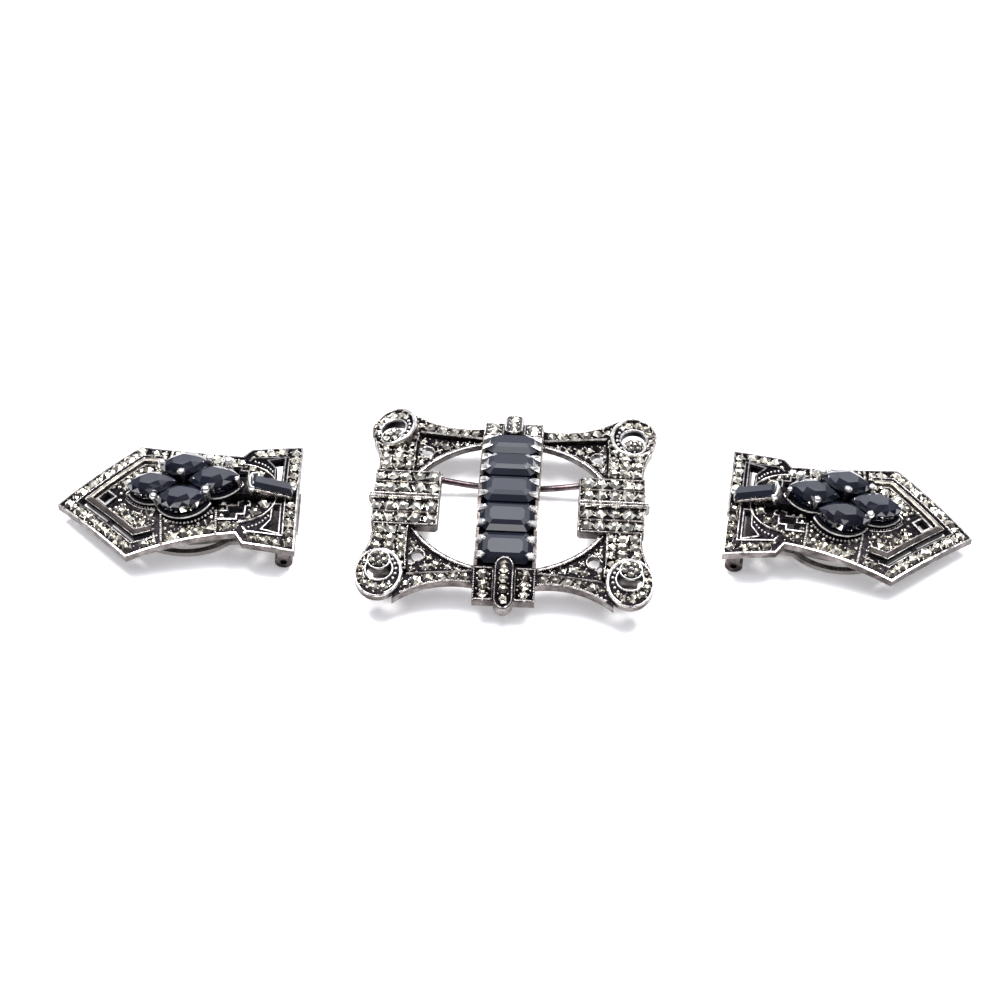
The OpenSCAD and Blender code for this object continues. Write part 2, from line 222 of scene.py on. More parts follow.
# ------------------------------------------------------------------ stones, beads and rims
def marcasite(soup, f, x, y, r, h=0.0, low=0.0):
    """Small rose-cut stone: girdle, one row of facets and a small flat on top."""
    n = int(rng.integers(5, 7))
    r = r * 1.12
    jit = lambda a, k=0.09: a * (1 + rng.uniform(-k, k))
    base = [(jit(px), jit(py), pz) for px, py, pz in circle(r, -0.12, n)]
    girdle = [(px, py, 0.14 * r) for px, py, _ in base]
    top = [(jit(px, 0.25), jit(py, 0.25), 0.58 * r * (1 + rng.uniform(-0.1, 0.1))) for px, py, _ in circle(0.36 * r, 0, n, rng.uniform(-0.25, 0.25))]
    tip = (rng.uniform(-0.06, 0.06) * r, rng.uniform(-0.06, 0.06) * r, 0.66 * r)
    verts = base + girdle + top + [tip]
    faces = [tuple(range(n - 1, -1, -1))]
    for i in range(n):
        j = (i + 1) % n
        faces.append((i, j, n + j, n + i))
        faces.append((n + i, n + j, 2 * n + i))
        faces.append((n + j, 2 * n + j, 2 * n + i))
        faces.append((2 * n + i, 2 * n + j, 3 * n))
    put_shape(soup, f, x, y, h, verts, faces, rng.uniform(0, 6.28), tuple(rng.uniform(-0.16, 0.16, 2)), tone=float(rng.uniform(low, 1)))


def bead(soup, f, x, y, r, h=0.0, n=8, tall=1.0, tone=0.5):
    rings = [circle(0.9 * r, -0.35 * r, n), circle(r, 0.1 * r * tall, n, 0.3), circle(0.78 * r, 0.6 * r * tall, n),
             circle(0.38 * r, 0.9 * r * tall, n, 0.3), [(0, 0, r * tall)]]
    v, fc = ring_mesh(rings)
    put_shape(soup, f, x, y, h, v, fc, rng.uniform(0, 6.28), tone=tone, smooth=True)


def grain(soup, f, x, y, r, h=0.0):
    rings = [circle(r, -0.3 * r, 6), circle(0.95 * r, 0.35 * r, 6, 0.5), circle(0.5 * r, 0.85 * r, 6), [(0, 0, r)]]
    v, fc = ring_mesh(rings)
    put_shape(soup, f, x, y, h, v, fc, rng.uniform(0, 6.28), tone=float(rng.uniform(0, 1)), smooth=True)


def resample(pts, step, closed=False):
    pts = [np.array(p, float) for p in pts]
    if closed:
        pts = pts + [pts[0]]
    out = []
    for a, b in zip(pts[:-1], pts[1:]):
        n = max(1, int(math.ceil(np.linalg.norm(b - a) / step)))
        out += [a + (b - a) * i / n for i in range(n)]
    if not closed:
        out.append(pts[-1])
    return np.array(out)


def along(pts, pitch, closed=False, start=0.0, stop=None):
    """Points at an even pitch along a line."""
    pts = np.array(list(pts) + ([pts[0]] if closed else []), float)
    d = np.r_[0, np.cumsum(np.linalg.norm(np.diff(pts, axis=0), axis=1))]
    end = d[-1] if stop is None else stop
    n = max(1, int(round((end - start) / pitch)))
    s = start + (end - start) * (np.arange(n if closed else n + 1) / n)
    return [(np.interp(t, d, pts[:, 0]), np.interp(t, d, pts[:, 1])) for t in s]


PROFILES = {
    "round": [(-1, -0.9), (-1, 0.25), (-0.75, 0.7), (-0.35, 0.95), (0, 1), (0.35, 0.95), (0.75, 0.7), (1, 0.25), (1, -0.9)],
    "flat": [(-1, -0.9), (-1, 0.8), (-0.8, 1), (0.8, 1), (1, 0.8), (1, -0.9)],
    "bevel": [(-1, -0.9), (-1, 0.15), (-0.9, 0.3), (-0.12, 1), (0.12, 1), (0.9, 0.3), (1, 0.15), (1, -0.9)],
    "inner": [(-1, -0.9), (-1, 0.9), (-0.85, 1), (0.6, 0.55), (1, 0.1), (1, -0.9)],
}


def sweep(soup, f, pts, width, height, h=0.0, closed=False, profile="round", step=0.45, sink=0.14, tone=0.5, taper=False):
    """Wire or strip laid on a surface along a line."""
    p = resample(pts, step, closed)
    n = len(p)
    if closed:
        d0, d1 = p - np.roll(p, 1, 0), np.roll(p, -1, 0) - p
    else:
        d0 = np.vstack([p[1] - p[0], np.diff(p, axis=0)])
        d1 = np.vstack([np.diff(p, axis=0), p[-1] - p[-2]])
    d0 /= np.linalg.norm(d0, axis=1)[:, None]
    d1 /= np.linalg.norm(d1, axis=1)[:, None]
    n0 = np.stack([-d0[:, 1], d0[:, 0]], 1)
    n1 = np.stack([-d1[:, 1], d1[:, 0]], 1)
    m = n0 + n1
    m /= np.linalg.norm(m, axis=1)[:, None]
    m /= np.maximum(0.35, (m * n0).sum(1))[:, None]
    prof = np.array(PROFILES[profile])
    k = len(prof)
    scale = np.ones(n)
    if taper:
        t = np.linspace(0, 1, n)
        scale = np.clip(np.minimum(t, 1 - t) * 6 + 0.25, 0, 1)
    verts = []
    for s, z in prof:
        w = s * width / 2 * scale
        hh = np.where(z > 0, z * height * scale, z * sink / 0.9)
        verts.append(f(p[:, 0] + m[:, 0] * w, p[:, 1] + m[:, 1] * w, h + hh))
    verts = np.stack(verts, 1).reshape(-1, 3)
    faces = []
    last = n if closed else n - 1
    if callable(tone):
        tones = [tone(*((p[i] + p[(i + 1) % n]) / 2)) for i in range(last) for _ in range(k)]
        tone = tones + ([] if closed else [tones[0], tones[-1]])
    for i in range(last):
        j = (i + 1) % n
        for a in range(k):
            b = (a + 1) % k
            faces.append((i * k + a, i * k + b, j * k + b, j * k + a))
    if not closed:
        faces.append(tuple(range(k)))
        faces.append(tuple((n - 1) * k + a for a in range(k - 1, -1, -1)))
    soup.add(verts, faces, tone, profile in ("round",))


def milled(soup, f, pts, r=0.13, pitch=0.27, h=0.0, closed=False):
    for x, y in along(pts, pitch, closed):
        grain(soup, f, x, y, r, h)


def arc(cx, cy, r, a0, a1, n=24, ry=None):
    ry = r if ry is None else ry
    return [(cx + r * math.cos(math.radians(a0 + (a1 - a0) * i / n)), cy + ry * math.sin(math.radians(a0 + (a1 - a0) * i / n))) for i in range(n + 1)]


def inset(poly, d):
    """Polygon moved inwards by d (counter-clockwise or not)."""
    p = np.array(poly, float)
    area = 0.5 * sum(p[i][0] * p[(i + 1) % len(p)][1] - p[(i + 1) % len(p)][0] * p[i][1] for i in range(len(p)))
    s = 1 if area > 0 else -1
    e = np.roll(p, -1, 0) - p
    e /= np.linalg.norm(e, axis=1)[:, None]
    nrm = np.stack([-e[:, 1], e[:, 0]], 1) * s
    prev = np.roll(nrm, 1, 0)
    m = prev + nrm
    m /= np.linalg.norm(m, axis=1)[:, None]
    m /= np.maximum(0.3, (m * nrm).sum(1))[:, None]
    return [tuple(q) for q in p + m * d]


def mirror_y(pts):
    return [(x, -y) for x, y in pts]


# ------------------------------------------------------------------ materials
def node_material(name):
    m = bpy.data.materials.new(name)
    m.use_nodes = True
    nt = m.node_tree
    nt.nodes.clear()
    out = nt.nodes.new("ShaderNodeOutputMaterial")
    bs = nt.nodes.new("ShaderNodeBsdfPrincipled")
    nt.links.new(bs.outputs[0], out.inputs[0])
    return m, nt, bs


def coords(nt):
    return nt.nodes.new("ShaderNodeTexCoord")


def noise(nt, tc, scale, detail=4.0, rough=0.55):
    n = nt.nodes.new("ShaderNodeTexNoise")
    n.inputs["Scale"].default_value = scale
    n.inputs["Detail"].default_value = detail
    n.inputs["Roughness"].default_value = rough
    nt.links.new(tc.outputs["Object"], n.inputs["Vector"])
    return n


def ramp(nt, source, stops):
    r = nt.nodes.new("ShaderNodeValToRGB")
    el = r.color_ramp.elements
    while len(el) < len(stops):
        el.new(0.5)
    for e, (at, col) in zip(el, stops):
        e.position = at
        e.color = (*col, 1) if len(col) == 3 else col
    nt.links.new(source, r.inputs[0])
    return r


def remap(nt, source, a, b, lo, hi):
    m = nt.nodes.new("ShaderNodeMapRange")
    m.inputs[1].default_value, m.inputs[2].default_value = a, b
    m.inputs[3].default_value, m.inputs[4].default_value = lo, hi
    nt.links.new(source, m.inputs[0])
    return m


def bump(nt, bs, source, strength, distance):
    b = nt.nodes.new("ShaderNodeBump")
    b.inputs["Strength"].default_value = strength
    b.inputs["Distance"].default_value = distance
    nt.links.new(source, b.inputs["Height"])
    nt.links.new(b.outputs[0], bs.inputs["Normal"])
    return b


def grey(v, warm=0.0):
    return (v * (1 + warm), v, v * (1 - warm))


# polished silver of rims, grains and bars
bright, nt, bs = node_material("silver_polished")
tc = coords(nt)
big, fine = noise(nt, tc, 1400), noise(nt, tc, 5200, 3)
c = ramp(nt, big.outputs["Fac"], [(0.33, (0.13, 0.112, 0.108)), (0.47, (0.42, 0.39, 0.375)), (0.64, (0.70, 0.675, 0.64))])
nt.links.new(c.outputs[0], bs.inputs["Base Color"])
nt.links.new(remap(nt, fine.outputs["Fac"], 0.3, 0.7, 0.16, 0.34).outputs[0], bs.inputs["Roughness"])
bs.inputs["Metallic"].default_value = 1.0
bump(nt, bs, fine.outputs["Fac"], 0.25, 0.00002)

# claws and collars: worn bright
claw_mat, nt, bs = node_material("silver_claws")
tc = coords(nt)
big, fine = noise(nt, tc, 1200), noise(nt, tc, 5200, 3)
c = ramp(nt, big.outputs["Fac"], [(0.28, (0.45, 0.43, 0.41)), (0.5, (0.82, 0.80, 0.78)), (0.7, (0.92, 0.91, 0.89))])
nt.links.new(c.outputs[0], bs.inputs["Base Color"])
nt.links.new(remap(nt, fine.outputs["Fac"], 0.3, 0.7, 0.22, 0.38).outputs[0], bs.inputs["Roughness"])
bs.inputs["Metallic"].default_value = 1.0
bump(nt, bs, fine.outputs["Fac"], 0.2, 0.00002)

# marcasite: steel-grey to pale gold, each stone with its own tone
marc, nt, bs = node_material("marcasite")
tc = coords(nt)
att = nt.nodes.new("ShaderNodeAttribute")
att.attribute_name = "tone"
c = ramp(nt, att.outputs["Fac"], [(0.0, (0.36, 0.33, 0.285)), (0.35, (0.62, 0.58, 0.495)), (0.75, (0.82, 0.78, 0.66)), (1.0, (1.0, 0.965, 0.85))])
nt.links.new(c.outputs[0], bs.inputs["Base Color"])
fine = noise(nt, tc, 3800, 2)
nt.links.new(remap(nt, fine.outputs["Fac"], 0.35, 0.65, 0.06, 0.18).outputs[0], bs.inputs["Roughness"])
bs.inputs["Metallic"].default_value = 1.0

# cast body: dark and oxidised where it faces up between the stones, plain silver on the sides and the back
body_mat, nt, bs = node_material("silver_antiqued")
tc = coords(nt)
sep = nt.nodes.new("ShaderNodeSeparateXYZ")
nt.links.new(tc.outputs["Normal"], sep.inputs[0])
up = remap(nt, sep.outputs["Z"], 0.55, 0.85, 0, 1)
big, fine = noise(nt, tc, 420, 5, 0.6), noise(nt, tc, 2600, 4, 0.6)
side = ramp(nt, big.outputs["Fac"], [(0.36, (0.035, 0.028, 0.027)), (0.5, (0.11, 0.096, 0.092)), (0.68, (0.26, 0.24, 0.23))])
dark = ramp(nt, fine.outputs["Fac"], [(0.38, (0.0025, 0.002, 0.003)), (0.6, (0.010, 0.0085, 0.010)), (0.75, (0.05, 0.045, 0.047))])
mix = nt.nodes.new("ShaderNodeMix")
mix.data_type = "RGBA"
nt.links.new(up.outputs[0], mix.inputs[0])
nt.links.new(side.outputs[0], mix.inputs[6])
nt.links.new(dark.outputs[0], mix.inputs[7])
nt.links.new(mix.outputs[2], bs.inputs["Base Color"])
nt.links.new(remap(nt, fine.outputs["Fac"], 0.3, 0.7, 0.28, 0.5).outputs[0], bs.inputs["Roughness"])
bs.inputs["Metallic"].default_value = 1.0
bump(nt, bs, fine.outputs["Fac"], 0.35, 0.00004)

# oxidised silver of the strap caps, the coil domes and the hinge pins; the same near-black silver on the bezels' walls
# and in the deepest grooves and openings is painted shade
oxide_and_shade_mat, nt, bs = node_material("silver_oxidised_and_painted_shade")
tc = coords(nt)
fine = noise(nt, tc, 2400, 4, 0.6)
c = ramp(nt, fine.outputs["Fac"], [(0.35, (0.002, 0.002, 0.004)), (0.6, (0.007, 0.0065, 0.010)), (0.75, (0.03, 0.028, 0.033))])
nt.links.new(c.outputs[0], bs.inputs["Base Color"])
nt.links.new(remap(nt, fine.outputs["Fac"], 0.3, 0.7, 0.35, 0.55).outputs[0], bs.inputs["Roughness"])
bs.inputs["Metallic"].default_value = 0.85
bump(nt, bs, fine.outputs["Fac"], 0.4, 0.00004)

# dulled plain silver of the levers and the pin's rivet
plain, nt, bs = node_material("silver_dulled")
tc = coords(nt)
big, fine = noise(nt, tc, 300, 5, 0.6), noise(nt, tc, 3000, 3)
c = ramp(nt, big.outputs["Fac"], [(0.33, (0.16, 0.145, 0.14)), (0.5, (0.42, 0.395, 0.38)), (0.7, (0.56, 0.535, 0.52))])
nt.links.new(c.outputs[0], bs.inputs["Base Color"])
nt.links.new(remap(nt, fine.outputs["Fac"], 0.3, 0.7, 0.25, 0.42).outputs[0], bs.inputs["Roughness"])
bs.inputs["Metallic"].default_value = 1.0
bump(nt, bs, fine.outputs["Fac"], 0.2, 0.00002)

# edge strips of the column: rubbed, brownish
strip_mat, nt, bs = node_material("silver_rubbed")
tc = coords(nt)
big, fine = noise(nt, tc, 700, 5, 0.6), noise(nt, tc, 3000, 3)
c = ramp(nt, big.outputs["Fac"], [(0.34, (0.04, 0.032, 0.03)), (0.5, (0.13, 0.11, 0.10)), (0.68, (0.30, 0.265, 0.245))])
nt.links.new(c.outputs[0], bs.inputs["Base Color"])
nt.links.new(remap(nt, fine.outputs["Fac"], 0.3, 0.7, 0.25, 0.42).outputs[0], bs.inputs["Roughness"])
bs.inputs["Metallic"].default_value = 1.0
bump(nt, bs, fine.outputs["Fac"], 0.2, 0.00002)

# bar of the arrow: the same silver, with a painted pale-gold reflection on the far arm and painted shade on the near
# arm
arrow_bar_reflection_and_shade_mat, nt, bs = node_material("silver_arrow_bar_painted_reflection_and_shade")
tc = coords(nt)
att = nt.nodes.new("ShaderNodeAttribute")
att.attribute_name = "tone"
big, fine = noise(nt, tc, 700, 5, 0.6), noise(nt, tc, 3000, 3)
# tone 0.1 gives the near arm's painted shade, tone 0.9 the far arm's painted pale-gold reflection
arm_reflection_and_shade = ramp(nt, att.outputs["Fac"], [(0.1, (0.10, 0.085, 0.08)), (0.9, (0.80, 0.74, 0.58))])
c = ramp(nt, big.outputs["Fac"], [(0.34, (0.35, 0.33, 0.32)), (0.5, (0.8, 0.8, 0.8)), (0.66, (1.0, 1.0, 1.0))])
mix = nt.nodes.new("ShaderNodeMix")
mix.data_type = "RGBA"
mix.blend_type = "MULTIPLY"
mix.inputs[0].default_value = 1.0
nt.links.new(arm_reflection_and_shade.outputs[0], mix.inputs[6])
nt.links.new(c.outputs[0], mix.inputs[7])
nt.links.new(mix.outputs[2], bs.inputs["Base Color"])
nt.links.new(remap(nt, fine.outputs["Fac"], 0.3, 0.7, 0.32, 0.5).outputs[0], bs.inputs["Roughness"])
bs.inputs["Metallic"].default_value = 0.9
bump(nt, bs, fine.outputs["Fac"], 0.2, 0.00002)

# the pin's wire: steel, darkened to a warm grey
wire, nt, bs = node_material("pin_wire_dark")
tc = coords(nt)
big, fine = noise(nt, tc, 500, 5, 0.6), noise(nt, tc, 4000, 3)
c = ramp(nt, big.outputs["Fac"], [(0.33, (0.05, 0.035, 0.04)), (0.55, (0.15, 0.115, 0.12)), (0.75, (0.27, 0.23, 0.23))])
nt.links.new(c.outputs[0], bs.inputs["Base Color"])
nt.links.new(remap(nt, fine.outputs["Fac"], 0.3, 0.7, 0.22, 0.4).outputs[0], bs.inputs["Roughness"])
bs.inputs["Metallic"].default_value = 1.0
bump(nt, bs, fine.outputs["Fac"], 0.2, 0.00002)

# onyx: near black, highly polished, with faint cloudiness
onyx, nt, bs = node_material("onyx")
tc = coords(nt)
big, fine = noise(nt, tc, 260, 3), noise(nt, tc, 5000, 2)
c = ramp(nt, big.outputs["Fac"], [(0.3, (0.003, 0.0035, 0.008)), (0.7, (0.006, 0.008, 0.018))])
nt.links.new(c.outputs[0], bs.inputs["Base Color"])
nt.links.new(remap(nt, fine.outputs["Fac"], 0.3, 0.7, 0.03, 0.07).outputs[0], bs.inputs["Roughness"])
bs.inputs["IOR"].default_value = 2.05

for name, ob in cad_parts.items():
    ob.data.materials.clear()
    if "stone" in name or "marquise" in name or "baguette" in name:
        ob.data.materials.append(onyx)
    elif name == "pin_stem":
        ob.data.materials.append(wire)
    elif "hinge_pin" in name:
        ob.data.materials.append(oxide_and_shade_mat)
    elif "lever" in name or name == "pin_rivet":
        ob.data.materials.append(plain)
    else:
        ob.data.materials.append(body_mat)

# ------------------------------------------------------------------ pin brooch
stones, rims, grains, claws, strips, oxide_and_shade_pieces = Soup(), Soup(), Soup(), Soup(), Soup(), Soup()


def spot(f, items, h=0.0, low=0.0):
    for x, y, r in items:
        marcasite(stones, f, x, y, r, h, low)


def corner_beads(f, items, h=0.0, r=0.15, reach=1.14):
    """Four raised grains round each stone hold it."""
    for x, y, rs in items:
        a0 = rng.uniform(0, 1.57)
        for k in range(4):
            a = a0 + k * math.pi / 2
            grain(grains, f, x + reach * rs * math.cos(a), y + reach * rs * math.sin(a), r * rng.uniform(0.95, 1.35), h + 0.08)


def rail_outer(x):
    return 25.05 - math.sqrt(12.2 ** 2 - (x - 6) ** 2)


def rail_inner(x):
    return 11 if x < 4 else 11 + 0.9 * (x - 4) / 8.4


def bar_outer(y):
    return 17.2 + 9 - math.sqrt(81 - (y - 5.5) ** 2)


def in_scroll(x, y, grow=0.0):
    return ((x - 15.8) / (3.08 + grow)) ** 2 + ((y - 12.2) / (3.66 + grow)) ** 2 < 1


def rail(sx, sy):
    f = tier(0.3, sx, sy)
    xs = np.linspace(4.25, 12.9, 16)
    outer = [(x, rail_outer(x) - 0.16) for x in xs]
    sweep(rims, f, outer, 0.22, 0.16)
    milled(grains, f, [(x, rail_outer(x) - 0.14) for x in xs], 0.12, 0.27, 0.1)
    sweep(rims, f, [(4.1, 11.16), (12.3, 12.02)], 0.26, 0.24, profile="bevel")
    items = []
    for x, r in ((4.95, 0.60), (6.45, 0.60), (7.95, 0.62), (9.5, 0.66), (11.1, 0.68), (12.35, 0.42)):
        mid = (rail_outer(x) + rail_inner(x)) / 2
        items.append((x, mid + 0.02, r))
    spot(f, items)
    for (xa, ya, ra), (xb, yb, rb) in zip(items[:-1], items[1:]):
        xm = (xa + xb) / 2
        for d in (-0.46, 0.46):
            grain(grains, f, xm, (ya + yb) / 2 + d, 0.16)
    # small dark grains of the foot
    for x, y in ((12.6, 13.3), (12.85, 14.0), (12.35, 14.3), (12.9, 14.7), (11.8, 13.9), (12.75, 12.75), (11.9, 12.9)):
        grain(grains, f, x, y, 0.17)


def spandrel(sx, sy):
    f = tier(0.85, sx, sy)
    items = [(10.1, 10.35, 0.55), (8.75, 9.95, 0.6), (7.3, 10.25, 0.46), (6.0, 10.55, 0.34), (9.7, 9.0, 0.34),
             (12.0, 6.75, 0.46), (11.55, 7.6, 0.36), (11.9, 10.75, 0.44), (10.75, 7.75, 0.26), (12.35, 7.75, 0.26)]
    spot(f, items)
    corner_beads(f, items, r=0.12)
    for x, y in ((5.1, 10.72), (4.6, 10.55), (6.65, 10.7), (8.05, 10.55), (9.4, 10.85), (8.2, 9.25), (11.1, 11.2), (12.45, 10.35), (12.25, 6.1), (11.95, 5.3), (12.4, 7.7), (10.6, 6.9), (12.0, 7.75)):
        grain(grains, f, x, y, 0.13)
    # curled rim round the comma-shaped hole
    sweep(rims, f, arc(11.2, 8.7, 0.93, 300, 60, 14) + arc(12.0, 9.5, 0.68, 150, -60, 12), 0.24, 0.24)
    sweep(rims, f, [(11.75, 7.85), (12.15, 8.5), (12.7, 9.1)], 0.22, 0.2)
    # oval ring, polished and milled
    g = tier(0.6, sx, sy)
    ring = [(x, y) for x, y in arc(0, 0, OVAL[0] + 0.3, 20, 75, 40, OVAL[1] + 0.3) if x > 3.9 and y > 4.7]
    sweep(rims, g, ring, 0.34, 0.12)
    milled(grains, g, [(x, y) for x, y in arc(0, 0, OVAL[0] + 0.1, 20, 75, 40, OVAL[1] + 0.1) if x > 3.9 and y > 4.7], 0.11, 0.26, 0.06)
    ring2 = [(x, y) for x, y in arc(0, 0, OVAL[0] + 0.5, 20, 75, 40, OVAL[1] + 0.5) if x > 3.9 and y > 4.7]
    milled(grains, g, ring2, 0.12, 0.26, 0.05)


def side_bar(sx, sy):
    f = tier(0, sx, sy)
    items = []
    for y in (5.4, 6.8, 8.05):
        xo = bar_outer(y)
        for x, r in ((13.3, 0.6), (14.8, 0.7), (xo - 0.92, 0.7)):
            items.append((x, y, r if y < 7.5 else 0.86 * r))
    spot(f, items, low=0.6)
    corner_beads(f, items, r=0.14, reach=1.16)
    sweep(rims, f, [(12.72, 4.7), (12.72, 9.6), (12.5, 11.2)], 0.16, 0.16)
    spot(f, [(13.3, 9.35, 0.5), (13.05, 10.6, 0.4), (17.75, 9.3, 0.34), (14.25, 8.95, 0.3)])
    for x, y in ((12.55, 10.2), (12.6, 11.35), (13.0, 11.45), (12.75, 8.7), (13.9, 9.6), (17.1, 8.9)):
        grain(grains, f, x, y, 0.19, 0.02)
    edge = [(bar_outer(y) - 0.17, y) for y in np.linspace(4.7, 9.7, 12)]
    sweep(rims, f, edge, 0.18, 0.1)
    milled(grains, f, edge, 0.12, 0.27, 0.08)


def panel(sx):
    for sy in (1, -1):
        f = tier(0, sx, sy)
        rows = []
        for y, xs in ((1.5, (10.0, 11.8, 13.6, 15.35, 16.85)), (3.48, (10.0, 11.8, 13.6, 15.3, 16.75))):
            for x in xs:
                rows.append((x + rng.uniform(-0.1, 0.1), y + rng.uniform(-0.07, 0.07), (0.8 if x < 16 else 0.58) * rng.uniform(0.94, 1.04)))
        spot(f, rows, low=0.9)
        corner_beads(f, rows, r=0.13, reach=1.16)
        line = [(9.35, 2.5), (17.35, 2.5)]
        sweep(rims, f, line, 0.18, 0.2, profile="bevel")
        sweep(rims, f, [(9.2, 4.41), (17.3, 4.41)], 0.18, 0.13)
        sweep(rims, f, [(17.36, 4.35), (17.4, 0.8)], 0.16, 0.1)
        milled(grains, f, [(17.36, 4.3), (17.4, 0.8)], 0.12, 0.27, 0.08)
        sweep(rims, f, [(9.05, 0.0), (9.05, 4.2), (9.2, 4.41)], 0.2, 0.14)
        # one half of the double ridge
        sweep(rims, f, [(9.1, 0.26), (17.2, 0.26), (17.9, 0.12)], 0.44, 0.5)
        for x, y in along([(9.25, 0.28), (17.75, 0.24)], 0.3):
            bead(grains, f, x, y, 0.2, 0.36, 6, 0.8)


def scroll(sx, sy, f):
    """Ellipse of the scroll in the quarter's own x and y, both positive."""
    cx, cy = 15.8, 12.2
    rim = arc(cx, cy, 2.93, 0, 360, 48, 3.51)[:-1]
    sweep(rims, f, rim, 0.3, 0.2, closed=True)
    sweep(claws, f, arc(cx, cy, 2.8, 110, 275, 34, 3.38), 0.46, 0.38)
    outer = [p for p in arc(cx, cy, 2.98, -60, 150, 40, 3.56)]
    milled(grains, f, outer, 0.12, 0.27, 0.08)
    # polished spiral that curls in to the coil
    sweep(claws, f, arc(15.8, 11.75, 1.74, -70, 245, 36), 0.26, 0.34)
    # white grains between the spiral and the rim, on the column's side
    for a in np.linspace(132, 222, 6):
        t = math.radians(a)
        bead(claws, f, 15.8 + 2.16 * math.cos(t), 11.8 + 2.42 * math.sin(t), 0.22, 0.03, 8)
    # marcasites of the outer band
    items = []
    for a, r in ((-58, 0.3), (-34, 0.38), (-8, 0.46), (20, 0.52), (48, 0.6), (77, 0.66), (106, 0.56), (128, 0.34)):
        t = math.radians(a)
        items.append((15.8 + 2.34 * math.cos(t), 11.95 + 2.55 * math.sin(t), r))
    spot(f, items)
    corner_beads(f, items, r=0.12)
    # near-black ring lining the scroll's hole: painted shade inside the hole
    sweep(oxide_and_shade_pieces, f, arc(15.8, 11.75, 1.56, -62, 242, 34), 0.1, 0.02, h=-0.05, profile="flat", sink=0.6)
    # coil of small stones over the hole's end
    sweep(claws, f, arc(15.92, 10.35, 1.4, 0, 360, 26)[:-1], 0.24, 0.3, closed=True)
    dome = [circle(1.3, -0.1, 20), circle(1.22, 0.2, 20), circle(0.95, 0.42, 20), circle(0.5, 0.56, 20), [(0, 0, 0.6)]]
    vv, fc = ring_mesh(dome)
    put_shape(oxide_and_shade_pieces, f, 15.92, 10.35, 0.0, vv, fc, 0.0, smooth=True)
    coil = [(15.92 + 0.78 * math.cos(t), 10.35 + 0.78 * math.sin(t), 0.42) for t in np.radians([20, 92, 164, 236, 308])]
    for x, y, r in coil:
        a = math.atan2(y - 10.35, x - 15.92)
        marcasite(stones, f, x, y, r, 0.42)
    bead(grains, f, 15.92, 10.35, 0.34, 0.5, 8)
    for t in np.radians([56, 128, 200, 272, 344]):
        bead(grains, f, 15.92 + 1.12 * math.cos(t), 10.35 + 1.12 * math.sin(t), 0.17, 0.28, 6)


